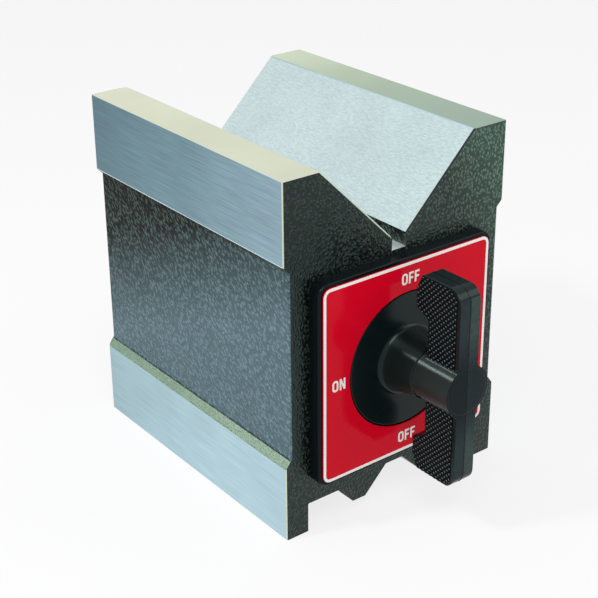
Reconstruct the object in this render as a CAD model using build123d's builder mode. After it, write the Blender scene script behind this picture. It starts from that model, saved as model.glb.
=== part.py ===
from build123d import *
import os
from math import cos, radians, sin, sqrt, tan

# Switchable magnetic V-block, in millimetres.
# X runs across the block, Y along the V with the knob at the low end, Z up from the feet.
# The origin is the middle of the bottom of the box round the whole object.

os.makedirs("parts", exist_ok=True)

# Block
block_width = 70.0
block_length = 84.0
v_angle = 90.0
top_land = 11.0
relief_width = 4.6
relief_depth = 3.6
edge_break = 0.5

# Ground bands on the sides, and the painted recess between them
upper_band = 20.8
lower_band = 20.4
side_recess = 1.5
lower_band_slope = 2.0
recess_round = 0.8
band_round = 0.5
band_break = 0.35

# Base
foot_width = 6.7
channel_height = 8.1
channel_round = 0.4
centre_land_half = 13.8
centre_land_gap = 2.9
base_v_depth = 6.9
lower_spacer_width = 5.6

# Bore, with the walls of steel above and below it
bore_radius = 20.0
upper_web = 8.4
lower_web = 11.5

# Rotor
air_gap = 0.3
magnet_thickness = 12.0
magnet_inset = 0.8
magnet_count = 3
flange_thickness = 4.0
rotor_screw_edge = 5.3
rotor_screw_angle = 56.0

# Dowels that join the halves through the spacers
dowel_radius = 2.0
dowel_length = 20.0
dowel_spacing = 40.0

# Bearing plates in the two mouths of the bore
plate_ledge = 6.5
plate_thickness = 6.0
plate_screw_edge = 3.5
plate_fit = 0.05
washer_thickness = 1.0
washer_edge = 2.5
end_play = 0.1

# Spindle, bushes, seal and stop
journal_radius = 6.0
bush_wall = 2.0
running_fit = 0.05
seal_section = 1.78
seal_fit = 0.1
spindle_radius = 4.0
spindle_flat = 0.8
spindle_reach = 17.5
press_gap = 0.02
stop_pin_radius = 1.5
stop_pin_edge = 4.7
stop_pin_floor = 0.5
stop_groove_depth = 2.5
stop_gap = 0.1
stop_travel = 90.0

# Screws
screw_radius = 1.5
screw_head_radius = 2.8
screw_length = 10.0
screw_socket = 2.0
screw_fit = 0.05
set_screw_radius = 2.0
set_screw_socket = 2.0
set_screw_sink = 0.5

# Front cover and label
cover_side_margin = 1.2
cover_top_margin = 0.9
cover_thickness = 3.6
cover_corner = 3.0
cover_bevel = 0.5
cover_floor = 1.4
cover_screw_inset = 4.3
label_margin = 1.2
label_thickness = 0.4
label_corner = 2.4
skirt_gap = 0.4

# Knob
skirt_radius = 18.1
skirt_proud = 0.2
skirt_back_gap = 0.3
hub_base_radius = 9.4
hub_front_radius = 7.0
hub_waist = 0.25
hub_front = 13.0
boss_radius = 6.7
boss_proud = 0.2
boss_round = 0.9
insert_wall = 1.2
insert_floor = 1.0
bar_thickness = 6.4
bar_front = 25.2
bar_back = 14.5
bar_half_length = 26.7
bar_corner = 4.0
wing_back = 10.3
wing_length = 8.9
wing_step = 2.0
wing_bevel_depth = 1.8
wing_bevel_height = 3.8
bar_edge_round = 0.9
grip_margin = 0.3
grip_height = 0.2

# Heights that follow from the block
half_width = block_width / 2
v_slope = tan(radians(90 - v_angle / 2))
base_apex = centre_land_gap + base_v_depth
base_v_half = lower_spacer_width / 2 + base_v_depth
bore_height = base_apex + lower_web + bore_radius
relief_bottom = bore_height + bore_radius + upper_web
v_bottom = relief_bottom + relief_depth
block_height = v_bottom + (half_width - top_land - relief_width / 2) * v_slope

# Plates, rotor, cover and knob as they follow from the bore and from each other
plate_radius = bore_radius + plate_ledge
plate_screw_circle = plate_radius - plate_screw_edge
rotor_radius = bore_radius - air_gap
rotor_screw_circle = rotor_radius - rotor_screw_edge
magnet_width = 2 * (sqrt(rotor_radius ** 2 - (magnet_thickness / 2) ** 2) - magnet_inset)
stop_pin_circle = rotor_radius - stop_pin_edge
stop_pin_depth = flange_thickness - stop_pin_floor
washer_radius = stop_pin_circle - stop_pin_radius - washer_edge
bush_outer = journal_radius + running_fit + bush_wall
seal_outer = journal_radius + seal_fit + seal_section
seal_depth = seal_section + press_gap
bush_length = plate_thickness - seal_depth
cover_width = 2 * (plate_radius + cover_side_margin)
cover_height = 2 * (plate_radius + cover_top_margin)
cover_screw_x = cover_width / 2 - cover_screw_inset
cover_screw_z = cover_height / 2 - cover_screw_inset
label_width = cover_width - 2 * label_margin
label_height = cover_height - 2 * label_margin
skirt_front = cover_thickness + skirt_proud
skirt_back = cover_floor + skirt_back_gap
boss_front = bar_front + boss_proud
insert_radius = spindle_radius + insert_wall
insert_seat = insert_radius + press_gap
insert_end = spindle_reach + insert_floor
wing_start = bar_half_length - wing_length
hub_middle = (skirt_front + hub_front) / 2
hub_middle_radius = (hub_base_radius + hub_front_radius) / 2 - hub_waist

# Places along Y that follow from the block and the knob
knob_tip = -(block_length + boss_front) / 2
block_face = knob_tip + boss_front
block_rear = block_face + block_length
flange_front = plate_thickness + washer_thickness + end_play
flange_rear = block_length - flange_front
segment_front = flange_front + flange_thickness
segment_length = block_length - 2 * segment_front
journal_end = cover_floor - end_play


def across(ahead):
    """Plane facing the front, at the middle of the feet, so far ahead of the block's front face."""
    return Plane(origin=(0, block_face - ahead, 0), x_dir=(1, 0, 0), z_dir=(0, -1, 0))


def on_axis(ahead):
    """The same plane with its origin on the bore's axis."""
    return Plane(origin=(0, block_face - ahead, bore_height), x_dir=(1, 0, 0), z_dir=(0, -1, 0))


def facing_rear(ahead):
    """Plane facing the rear, with its origin on the bore's axis."""
    return Plane(origin=(0, block_face - ahead, bore_height), x_dir=(-1, 0, 0), z_dir=(0, 1, 0))


# Section plane for turned pieces: radius to the right, distance ahead of the front face upwards
turning = Plane(origin=(0, block_face, bore_height), x_dir=(1, 0, 0), z_dir=(0, 0, -1))
bore_axis = Axis((0, block_face, bore_height), (0, -1, 0))
# Side view of the knob: distance ahead of the front face to the right, height above the axis upwards
side_view = Plane(origin=(0, block_face, bore_height), x_dir=(0, -1, 0), z_dir=(-1, 0, 0))


def save(piece, name):
    piece.part.label = name
    export_step(piece.part, f"parts/{name}.step")


def countersunk_screw(length, shank=screw_radius, head=screw_head_radius, socket=screw_socket):
    """Countersunk socket screw along Z, its head's top face at the origin."""
    cone = head - shank
    with BuildPart(mode=Mode.PRIVATE) as screw:
        with BuildSketch(Plane.XZ):
            with BuildLine():
                Polyline((0, 0), (head, 0), (shank, -cone), (shank, -length), (0, -length), close=True)
            make_face()
        revolve(axis=Axis.Z)
        with BuildSketch(Plane.XY):
            RegularPolygon(socket / 2, 6, major_radius=False)
        extrude(amount=-cone, mode=Mode.SUBTRACT)
    return screw.part


def screw_seat(length, shank=screw_radius, head=screw_head_radius, gap=screw_fit):
    """The space that a countersunk screw needs, with its clearance."""
    cone = head - shank
    with BuildPart(mode=Mode.PRIVATE) as seat:
        with BuildSketch(Plane.XZ):
            with BuildLine():
                Polyline((0, 0), (head + gap, 0), (shank + gap, -cone), (shank + gap, -length - gap),
                         (0, -length - gap), close=True)
            make_face()
        revolve(axis=Axis.Z)
    return seat.part


plate_screw_seat = screw_seat(screw_length)
cover_screw_seat = screw_seat(screw_length)


# Steel halves

def pole(side):
    """One steel half of the block; side is 1 for the right half and -1 for the left."""
    outline = [
        (lower_spacer_width / 2, base_apex),
        (base_v_half, centre_land_gap),
        (centre_land_half, centre_land_gap),
        (centre_land_half, channel_height),
        (half_width - foot_width, channel_height),
        (half_width - foot_width, 0),
        (half_width, 0),
        (half_width, lower_band),
        (half_width - side_recess, lower_band + lower_band_slope),
        (half_width - side_recess, block_height - upper_band - side_recess),
        (half_width, block_height - upper_band),
        (half_width, block_height),
        (half_width - top_land, block_height),
        (relief_width / 2, v_bottom),
        (relief_width / 2, bore_height),
        (lower_spacer_width / 2, bore_height),
    ]
    with BuildPart() as half:
        with BuildSketch(across(-block_length)):
            with BuildLine():
                Polyline(*[(side * x, z) for x, z in outline], close=True)
            make_face()
        extrude(amount=block_length)
        channel_edges = half.edges().filter_by(Axis.Y).filter_by_position(
            Axis.Z, channel_height - 0.01, channel_height + 0.01)
        fillet(channel_edges, channel_round)
        waist = side * (half_width - side_recess)
        waist_corners = half.edges().filter_by(Axis.Z).filter_by_position(Axis.X, waist - 0.01, waist + 0.01)
        fillet(waist_corners, recess_round)
        bands = half.faces().filter_by_position(Axis.X, side * half_width - 0.01, side * half_width + 0.01)
        chamfer(bands.edges().filter_by(Axis.Z), band_break)
        band_corners = half.edges().filter_by(Axis.Y).filter_by_position(
            Axis.Z, block_height - upper_band - 0.01, block_height - upper_band + 0.01)
        fillet(band_corners, band_round)
        flank = half.faces().filter_by(lambda f: 0.3 < f.normal_at().Z < 0.95).sort_by(Axis.Z)[-1]
        chamfer(flank.edges().filter_by(Axis.Y, reverse=True), edge_break)
        with BuildSketch(on_axis(0)):
            Circle(bore_radius)
        extrude(amount=-block_length, mode=Mode.SUBTRACT)
        for mouth in (on_axis(0), facing_rear(-block_length)):
            with BuildSketch(mouth):
                Circle(plate_radius + plate_fit)
            extrude(amount=-plate_thickness, mode=Mode.SUBTRACT)
            with Locations(mouth):
                with PolarLocations(plate_screw_circle, 4, start_angle=45):
                    add(plate_screw_seat, mode=Mode.SUBTRACT)
        with Locations(on_axis(cover_thickness)):
            with GridLocations(2 * cover_screw_x, 2 * cover_screw_z, 2, 2):
                add(cover_screw_seat, mode=Mode.SUBTRACT)
        add(dowel_set(dowel_radius), mode=Mode.SUBTRACT)
    return half


upper_dowel_height = (relief_bottom + bore_height + bore_radius) / 2
lower_dowel_height = (base_apex + bore_height - bore_radius) / 2


def dowel_set(radius):
    """The four pins across the spacers, as one group of solids."""
    middle = (block_face + block_rear) / 2
    with BuildPart(mode=Mode.PRIVATE) as dowels:
        for height in (upper_dowel_height, lower_dowel_height):
            with BuildSketch(Plane.YZ.offset(-dowel_length / 2)):
                with Locations((middle, height)):
                    with GridLocations(dowel_spacing, 1, 2, 1):
                        Circle(radius)
            extrude(amount=dowel_length)
    return dowels.part


left_pole = pole(-1)
save(left_pole, "left_pole")
right_pole = pole(1)
save(right_pole, "right_pole")


# Non-magnetic spacers between the halves, above and below the bore

def spacer(width, low, high):
    with BuildPart() as strip:
        with BuildSketch(across(-block_length)):
            with Locations((0, (low + high) / 2)):
                Rectangle(width, high - low)
        extrude(amount=block_length)
        with BuildSketch(on_axis(0)):
            Circle(bore_radius)
        extrude(amount=-block_length, mode=Mode.SUBTRACT)
        for mouth in (on_axis(0), facing_rear(-block_length)):
            with BuildSketch(mouth):
                Circle(plate_radius + plate_fit)
            extrude(amount=-plate_thickness, mode=Mode.SUBTRACT)
        add(dowel_set(dowel_radius), mode=Mode.SUBTRACT)
    return strip


upper_spacer = spacer(relief_width, bore_height, relief_bottom)
save(upper_spacer, "upper_spacer")
lower_spacer = spacer(lower_spacer_width, base_apex, bore_height)
save(lower_spacer, "lower_spacer")

with BuildPart() as spacer_dowels:
    add(dowel_set(dowel_radius))
save(spacer_dowels, "spacer_dowels")


# Bearing plates, bushes and their screws

stop_arc = CenterArc((0, 0), stop_pin_circle, 90, stop_travel)

with BuildPart() as front_bearing_plate:
    with BuildSketch(on_axis(0)):
        Circle(plate_radius)
        Circle(bush_outer, mode=Mode.SUBTRACT)
    extrude(amount=-plate_thickness)
    with Locations(on_axis(0)):
        with PolarLocations(plate_screw_circle, 4, start_angle=45):
            add(plate_screw_seat, mode=Mode.SUBTRACT)
    with BuildSketch(on_axis(0)):
        Circle(seal_outer + seal_fit)
    extrude(amount=-seal_depth, mode=Mode.SUBTRACT)
    with BuildSketch(facing_rear(-plate_thickness)):
        SlotArc(stop_arc, 2 * (stop_pin_radius + stop_gap))
    extrude(amount=-stop_groove_depth, mode=Mode.SUBTRACT)
save(front_bearing_plate, "front_bearing_plate")

with BuildPart() as rear_end_plate:
    with BuildSketch(facing_rear(-block_length)):
        Circle(plate_radius)
    extrude(amount=-plate_thickness)
    chamfer(rear_end_plate.faces().sort_by(Axis.Y)[-1].edges(), edge_break)
    with BuildSketch(on_axis(-block_length + plate_thickness)):
        Circle(bush_outer)
    extrude(amount=-bush_length, mode=Mode.SUBTRACT)
    with Locations(facing_rear(-block_length)):
        with PolarLocations(plate_screw_circle, 4, start_angle=45):
            add(plate_screw_seat, mode=Mode.SUBTRACT)
save(rear_end_plate, "rear_end_plate")


def bush(start):
    """Plain bush that reaches from start towards the rear by its length."""
    with BuildPart() as sleeve:
        with BuildSketch(on_axis(-start)):
            Circle(bush_outer)
            Circle(journal_radius + running_fit, mode=Mode.SUBTRACT)
        extrude(amount=-bush_length)
    return sleeve


front_bush = bush(seal_depth)
save(front_bush, "front_bush")
rear_bush = bush(block_length - plate_thickness)
save(rear_bush, "rear_bush")

with BuildPart() as front_plate_screws:
    with Locations(on_axis(0)):
        with PolarLocations(plate_screw_circle, 4, start_angle=45):
            add(countersunk_screw(screw_length))
save(front_plate_screws, "front_plate_screws")

with BuildPart() as rear_plate_screws:
    with Locations(facing_rear(-block_length)):
        with PolarLocations(plate_screw_circle, 4, start_angle=45):
            add(countersunk_screw(screw_length))
save(rear_plate_screws, "rear_plate_screws")

with BuildPart() as shaft_seal:
    with BuildSketch(turning):
        with Locations((journal_radius + seal_fit + seal_section / 2, -seal_depth / 2)):
            Circle(seal_section / 2)
    revolve(axis=bore_axis)
save(shaft_seal, "shaft_seal")


def thrust_washer(start):
    """Flat ring that keeps the rotor off a bearing plate."""
    with BuildPart() as ring:
        with BuildSketch(on_axis(-start)):
            Circle(washer_radius)
            Circle(journal_radius + seal_fit, mode=Mode.SUBTRACT)
        extrude(amount=-washer_thickness)
    return ring


front_thrust_washer = thrust_washer(plate_thickness)
save(front_thrust_washer, "front_thrust_washer")
rear_thrust_washer = thrust_washer(block_length - plate_thickness - washer_thickness)
save(rear_thrust_washer, "rear_thrust_washer")


# Front cover with the round recess for the knob's skirt, and the label on it

with BuildPart() as front_cover:
    with BuildSketch(on_axis(0)):
        RectangleRounded(cover_width, cover_height, cover_corner)
        Circle(journal_radius + seal_fit, mode=Mode.SUBTRACT)
    extrude(amount=cover_thickness)
    front_rim = front_cover.faces().sort_by(Axis.Y)[0].outer_wire().edges()
    chamfer(front_rim, cover_bevel)
    with BuildSketch(on_axis(cover_floor)):
        Circle(skirt_radius + skirt_gap)
    extrude(amount=cover_thickness, mode=Mode.SUBTRACT)
    with Locations(on_axis(cover_thickness)):
        with GridLocations(2 * cover_screw_x, 2 * cover_screw_z, 2, 2):
            add(cover_screw_seat, mode=Mode.SUBTRACT)
save(front_cover, "front_cover")

with BuildPart() as front_cover_screws:
    with Locations(on_axis(cover_thickness)):
        with GridLocations(2 * cover_screw_x, 2 * cover_screw_z, 2, 2):
            add(countersunk_screw(screw_length))
save(front_cover_screws, "front_cover_screws")

with BuildPart() as label_plate:
    with BuildSketch(on_axis(cover_thickness)):
        RectangleRounded(label_width, label_height, label_corner)
        Circle(skirt_radius + skirt_gap, mode=Mode.SUBTRACT)
    extrude(amount=label_thickness)
save(label_plate, "label_plate")


# Rotor: two end flanges with journals, two steel segments and a slab of magnets between them

rotor_screw_x = rotor_screw_circle * cos(radians(rotor_screw_angle))
rotor_screw_z = rotor_screw_circle * sin(radians(rotor_screw_angle))
rotor_screw_seat = screw_seat(screw_length)

with BuildPart() as front_flange:
    with BuildSketch(turning):
        with BuildLine():
            Polyline((0, -segment_front), (rotor_radius, -segment_front), (rotor_radius, -flange_front),
                     (journal_radius, -flange_front), (journal_radius, journal_end),
                     (spindle_radius, journal_end), (spindle_radius, spindle_reach),
                     (0, spindle_reach), close=True)
        make_face()
    revolve(axis=bore_axis)
    spindle_tip = front_flange.faces().sort_by(Axis.Y)[0].edges()
    chamfer(spindle_tip, edge_break)
    with BuildSketch(on_axis(journal_end)):
        with Locations((0, -spindle_radius)):
            Rectangle(2 * spindle_radius, 2 * spindle_flat)
    extrude(amount=spindle_reach, mode=Mode.SUBTRACT)
    with Locations(on_axis(-flange_front)):
        with GridLocations(2 * rotor_screw_x, 2 * rotor_screw_z, 2, 2):
            add(rotor_screw_seat, mode=Mode.SUBTRACT)
    with BuildSketch(on_axis(-flange_front)):
        with Locations((0, stop_pin_circle)):
            Circle(stop_pin_radius)
    extrude(amount=-stop_pin_depth, mode=Mode.SUBTRACT)
save(front_flange, "drive_flange")

with BuildPart() as rear_flange:
    with BuildSketch(turning):
        with BuildLine():
            journal_back = -(block_length - plate_thickness + bush_length - end_play)
            Polyline((0, -segment_front - segment_length), (rotor_radius, -segment_front - segment_length),
                     (rotor_radius, -flange_rear), (journal_radius, -flange_rear),
                     (journal_radius, journal_back), (0, journal_back), close=True)
        make_face()
    revolve(axis=bore_axis)
    chamfer(rear_flange.faces().sort_by(Axis.Y)[-1].edges(), edge_break)
    with Locations(facing_rear(-flange_rear)):
        with GridLocations(2 * rotor_screw_x, 2 * rotor_screw_z, 2, 2):
            add(rotor_screw_seat, mode=Mode.SUBTRACT)
save(rear_flange, "rear_flange")


def rotor_segment(side):
    """Steel segment of the rotor; side is 1 for the upper and -1 for the lower at rest."""
    chord = side * magnet_thickness / 2
    with BuildPart() as segment:
        with BuildSketch(on_axis(-segment_front)):
            Circle(rotor_radius)
            with Locations((0, chord - side * bore_radius)):
                Rectangle(2 * bore_radius, 2 * bore_radius, mode=Mode.SUBTRACT)
        extrude(amount=-segment_length)
        with Locations(on_axis(-flange_front)):
            with GridLocations(2 * rotor_screw_x, 2 * rotor_screw_z, 2, 2):
                add(rotor_screw_seat, mode=Mode.SUBTRACT)
        with Locations(facing_rear(-flange_rear)):
            with GridLocations(2 * rotor_screw_x, 2 * rotor_screw_z, 2, 2):
                add(rotor_screw_seat, mode=Mode.SUBTRACT)
    return segment


upper_segment = rotor_segment(1)
save(upper_segment, "rotor_segment_upper")
lower_segment = rotor_segment(-1)
save(lower_segment, "rotor_segment_lower")

magnet_length = segment_length / magnet_count
with BuildPart() as magnets:
    for place in range(magnet_count):
        with BuildSketch(on_axis(-segment_front - place * magnet_length)):
            Rectangle(magnet_width, magnet_thickness)
        extrude(amount=-(magnet_length - press_gap))
save(magnets, "rotor_magnets")

with BuildPart() as rotor_screws:
    for end in (on_axis(-flange_front), facing_rear(-flange_rear)):
        with Locations(end):
            with GridLocations(2 * rotor_screw_x, 2 * rotor_screw_z, 2, 2):
                add(countersunk_screw(screw_length))
save(rotor_screws, "rotor_screws")

pin_reach = washer_thickness + end_play + stop_groove_depth - stop_gap
with BuildPart() as stop_pin:
    with BuildSketch(on_axis(-flange_front - stop_pin_depth)):
        with Locations((0, stop_pin_circle)):
            Circle(stop_pin_radius)
    extrude(amount=stop_pin_depth + pin_reach)
save(stop_pin, "stop_pin")


# Knob: skirt, waisted hub and boss turned in one, with a bar across that hooks back round the skirt

def bar_profile(margin=0):
    """Side view of the bar, drawn in by a margin."""
    outline = [(bar_front, 0), (bar_front, bar_half_length), (wing_back + wing_bevel_depth, bar_half_length),
               (wing_back, bar_half_length - wing_bevel_height), (wing_back, wing_start),
               (bar_back, wing_start - wing_step), (bar_back, 0)]
    with BuildSketch(mode=Mode.PRIVATE) as profile:
        with BuildLine():
            Polyline(*outline)
            mirror(about=Plane.XZ)
        make_face()
        corners = profile.vertices()
        fillet(corners.filter_by_position(Axis.X, bar_front - 0.01, bar_front + 0.01), bar_corner)
        fillet(profile.vertices().filter_by_position(
            Axis.X, wing_back - 0.01, bar_back + 0.01), bar_edge_round)
        if margin:
            offset(amount=-margin)
    return profile.sketch


with BuildPart() as knob:
    with BuildSketch(side_view):
        add(bar_profile())
    extrude(amount=bar_thickness / 2, both=True)
    rims = knob.faces().filter_by(Axis.X).edges()
    fillet(rims, bar_edge_round)
    with BuildSketch(side_view):
        add(bar_profile(bar_edge_round + grip_margin))
    extrude(amount=bar_thickness / 2 + grip_height, both=True)
    with BuildSketch(turning):
        with BuildLine():
            Polyline((0, boss_front), (0, skirt_back), (skirt_radius, skirt_back),
                     (skirt_radius, skirt_front), (hub_base_radius, skirt_front))
            ThreePointArc((hub_base_radius, skirt_front), (hub_middle_radius, hub_middle),
                          (hub_front_radius, hub_front))
            Polyline((hub_front_radius, hub_front), (boss_radius, hub_front),
                     (boss_radius, boss_front - boss_round))
            RadiusArc((boss_radius, boss_front - boss_round), (boss_radius - boss_round, boss_front),
                      -boss_round)
            Line((boss_radius - boss_round, boss_front), (0, boss_front))
        make_face()
    revolve(axis=bore_axis)
    with BuildSketch(on_axis(skirt_back)):
        Circle(insert_seat)
    extrude(amount=insert_end - skirt_back, mode=Mode.SUBTRACT)
    with BuildSketch(Plane.XY.offset(bore_height)):
        with Locations((0, block_face - hub_middle)):
            Circle(set_screw_radius + screw_fit)
    extrude(amount=-hub_base_radius, mode=Mode.SUBTRACT)
save(knob, "knob")

with BuildPart() as knob_insert:
    with BuildSketch(on_axis(skirt_back)):
        Circle(insert_radius)
    extrude(amount=insert_end - press_gap - skirt_back)
    with BuildSketch(on_axis(skirt_back)):
        Circle(spindle_radius + press_gap)
        with Locations((0, -spindle_radius - press_gap)):
            Rectangle(2 * spindle_radius, 2 * spindle_flat, mode=Mode.SUBTRACT)
    extrude(amount=insert_end - skirt_back, mode=Mode.SUBTRACT)
    with BuildSketch(Plane.XY.offset(bore_height)):
        with Locations((0, block_face - hub_middle)):
            Circle(set_screw_radius + screw_fit)
    extrude(amount=-insert_radius, mode=Mode.SUBTRACT)
save(knob_insert, "knob_insert")

set_screw_top = spindle_radius - spindle_flat + press_gap
with BuildPart() as knob_set_screw:
    with BuildSketch(Plane.XY.offset(bore_height - set_screw_top)):
        with Locations((0, block_face - hub_middle)):
            Circle(set_screw_radius)
    extrude(amount=-(hub_middle_radius - set_screw_sink - set_screw_top))
    with BuildSketch(Plane.XY.offset(bore_height - hub_middle_radius + set_screw_sink)):
        with Locations((0, block_face - hub_middle)):
            RegularPolygon(set_screw_socket / 2, 6, major_radius=False)
    extrude(amount=set_screw_radius, mode=Mode.SUBTRACT)
save(knob_set_screw, "knob_set_screw")
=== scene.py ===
import math

import bmesh
import bpy
from mathutils import Matrix, Vector


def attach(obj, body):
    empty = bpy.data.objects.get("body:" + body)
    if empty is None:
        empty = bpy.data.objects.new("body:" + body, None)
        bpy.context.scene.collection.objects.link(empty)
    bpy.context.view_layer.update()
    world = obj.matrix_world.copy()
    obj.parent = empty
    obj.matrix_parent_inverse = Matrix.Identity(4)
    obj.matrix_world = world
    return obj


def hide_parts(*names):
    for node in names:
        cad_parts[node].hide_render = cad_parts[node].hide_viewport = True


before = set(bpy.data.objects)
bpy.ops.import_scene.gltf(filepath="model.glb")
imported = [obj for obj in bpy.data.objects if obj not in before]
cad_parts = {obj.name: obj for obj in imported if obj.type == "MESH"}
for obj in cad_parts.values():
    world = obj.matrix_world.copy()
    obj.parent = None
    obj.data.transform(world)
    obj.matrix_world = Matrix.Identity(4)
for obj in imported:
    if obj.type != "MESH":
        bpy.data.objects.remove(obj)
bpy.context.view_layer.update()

# Sizes are written in millimetres and become metres where a piece is made. Across is X from
# the middle, heights are Z from the feet, and ahead is measured from the block's front face
# towards the knob.
MM = 0.001
FACE = -29.3
REAR = 54.7
AXIS = 41.3

# Section of the block
HALF_WIDTH = 35.0
HEIGHT = 95.0
LAND = 11.0
SLOT_HALF = 2.3
SLOT_DEPTH = 3.6
UPPER_BAND = 20.8
LOWER_BAND = 20.4
LOWER_SLOPE = 2.0
RECESS_DEPTH = 1.5
FOOT = 6.7
CHANNEL = 8.1
CENTRE_HALF = 13.8
CENTRE_GAP = 2.9
BASE_V_HALF = 2.8
BASE_V_DEPTH = 6.9

V_HALF = HALF_WIDTH - LAND
V_APEX = HEIGHT - V_HALF
SLOT_TOP = V_APEX + SLOT_HALF
SLOT_FLOOR = SLOT_TOP - SLOT_DEPTH
BAND_FOOT = HEIGHT - UPPER_BAND
RECESS_TOP = BAND_FOOT - RECESS_DEPTH
RECESS_FOOT = LOWER_BAND + LOWER_SLOPE
RECESS_WALL = HALF_WIDTH - RECESS_DEPTH
FOOT_INSIDE = HALF_WIDTH - FOOT
BASE_V_TOP = CENTRE_GAP + BASE_V_DEPTH

# The coat of paint, and the same coat measured level or upright across a face at 45 degrees
PAINT = 0.1
SLANTED_PAINT = 0.14

# Room left round a tool that cuts, so that it ends clear of the piece
CLEAR = 1.0

# The least share of a direction that a face has which squarely faces it
SQUARE = 0.99


# Hand tools

def at(across, ahead, height):
    """A point across, ahead of the block's front face and above the feet."""
    return Vector((across, FACE - ahead, height)) * MM


def object_mode():
    if bpy.context.object and bpy.context.object.mode != "OBJECT":
        bpy.ops.object.mode_set(mode="OBJECT")


def deselect_all():
    object_mode()
    bpy.ops.object.select_all(action="DESELECT")


def only(obj):
    deselect_all()
    obj.select_set(True)
    bpy.context.view_layer.objects.active = obj


def edit(obj):
    only(obj)
    bpy.ops.object.mode_set(mode="EDIT")


def middle(edge):
    """The middle of an edge, in millimetres."""
    return (edge.verts[0].co + edge.verts[1].co) / 2 / MM


def run(edge):
    """How far an edge runs along the V, in millimetres."""
    return abs(edge.verts[0].co.y - edge.verts[1].co.y) / MM


def outward(obj):
    edit(obj)
    bpy.ops.mesh.select_all(action="SELECT")
    bpy.ops.mesh.normals_make_consistent(inside=False)
    object_mode()


def named(name):
    obj = bpy.context.object
    obj.name = name
    obj.data.name = name
    return obj


def flat_outline(name, points):
    """A flat closed outline, left selected in edit mode: a circle with each of its points put in place."""
    deselect_all()
    bpy.ops.mesh.primitive_circle_add(vertices=len(points), radius=MM, fill_type="NGON")
    obj = named(name)
    edit(obj)
    mesh = bmesh.from_edit_mesh(obj.data)
    mesh.verts.ensure_lookup_table()
    for vertex, point in zip(mesh.verts, points):
        vertex.co = point
    bmesh.update_edit_mesh(obj.data)
    bpy.ops.mesh.select_all(action="SELECT")
    return obj


def slab(name, points, step):
    """A closed solid: a flat outline, extruded by one step."""
    obj = flat_outline(name, points)
    bpy.ops.mesh.extrude_region_move(TRANSFORM_OT_translate={"value": step})
    outward(obj)
    return obj


def front_slab(name, outline, start, end):
    """A slab drawn as seen from the front, across and up, from one distance ahead to another."""
    return slab(name, [at(x, start, z) for x, z in outline], (0, (start - end) * MM, 0))


def side_slab(name, outline, start, end):
    """A slab drawn as seen from the side, ahead and above the axis, from one place across to another."""
    return slab(name, [at(start, ahead, AXIS + z) for ahead, z in outline], ((end - start) * MM, 0, 0))


def turned(name, profile, steps=96):
    """A closed turned solid: radius and distance ahead, spun round the knob's axis."""
    obj = flat_outline(name, [at(radius, ahead, AXIS) for radius, ahead in profile])
    bpy.ops.mesh.delete(type="ONLY_FACE")
    bpy.ops.mesh.select_all(action="SELECT")
    bpy.ops.mesh.spin(steps=steps, angle=2 * math.pi, center=at(0, 0, AXIS), axis=(0, 1, 0))
    bpy.ops.mesh.select_all(action="SELECT")
    bpy.ops.mesh.remove_doubles(threshold=0.01 * MM)
    outward(obj)
    return obj


def apply_all(obj):
    only(obj)
    for modifier in list(obj.modifiers):
        bpy.ops.object.modifier_apply(modifier=modifier.name)


def boolean(obj, tool, operation="DIFFERENCE", keep=False):
    """Cuts, joins or intersects with a tool, which is then removed unless it is kept."""
    modifier = obj.modifiers.new("Boolean", "BOOLEAN")
    modifier.operation = operation
    modifier.solver = "EXACT"
    modifier.object = tool
    apply_all(obj)
    if not keep:
        bpy.data.objects.remove(tool)


def bevel_edges(obj, test, width, segments):
    """Bevels the edges that pass the test."""
    edit(obj)
    bpy.ops.mesh.select_mode(type="EDGE")
    bpy.ops.mesh.select_all(action="DESELECT")
    mesh = bmesh.from_edit_mesh(obj.data)
    for edge in mesh.edges:
        if test(edge):
            edge.select_set(True)
    mesh.select_flush_mode()
    bmesh.update_edit_mesh(obj.data)
    bpy.ops.mesh.bevel(offset=width * MM, segments=segments, affect="EDGES", clamp_overlap=True)
    object_mode()


def smooth(obj, angle):
    """Smooth shading that stays flat on the flats: the largest faces set the normals."""
    only(obj)
    bpy.ops.object.shade_smooth_by_angle(angle=math.radians(angle))
    modifier = obj.modifiers.new("Weighted normal", "WEIGHTED_NORMAL")
    modifier.keep_sharp = True
    modifier.weight = 90
    apply_all(obj)


def join(first, *others):
    deselect_all()
    for obj in (first, *others):
        obj.select_set(True)
    bpy.context.view_layer.objects.active = first
    bpy.ops.object.join()
    return first


def merged_copy(node, name):
    """A copy of a CAD node with its loose triangles merged and its flat faces joined."""
    obj = bpy.data.objects.new(name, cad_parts[node].data.copy())
    obj.data.name = name
    bpy.context.scene.collection.objects.link(obj)
    edit(obj)
    bpy.ops.mesh.select_all(action="SELECT")
    bpy.ops.mesh.remove_doubles(threshold=0.002 * MM)
    bpy.ops.mesh.dissolve_limited(angle_limit=math.radians(0.4))
    object_mode()
    obj.data.materials.clear()
    return obj


def paint_faces(obj, rules, other):
    """Gives each face the first material whose rule it meets: a rule reads its direction and its middle."""
    for material in [material for _, material in rules] + [other]:
        if material.name not in obj.data.materials:
            obj.data.materials.append(material)
    slots = {material.name: i for i, material in enumerate(obj.data.materials)}
    for face in obj.data.polygons:
        chosen = other
        for rule, material in rules:
            if rule(face.normal, face.center / MM):
                chosen = material
                break
        face.material_index = slots[chosen.name]


def finished(obj, body, slot, material, *nodes):
    only(obj)
    bpy.ops.object.transform_apply(location=True, rotation=True, scale=True)
    if not obj.data.materials:
        obj.data.materials.append(material)
    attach(obj, body)
    if nodes:
        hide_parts(*nodes)


# Outlines

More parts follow.
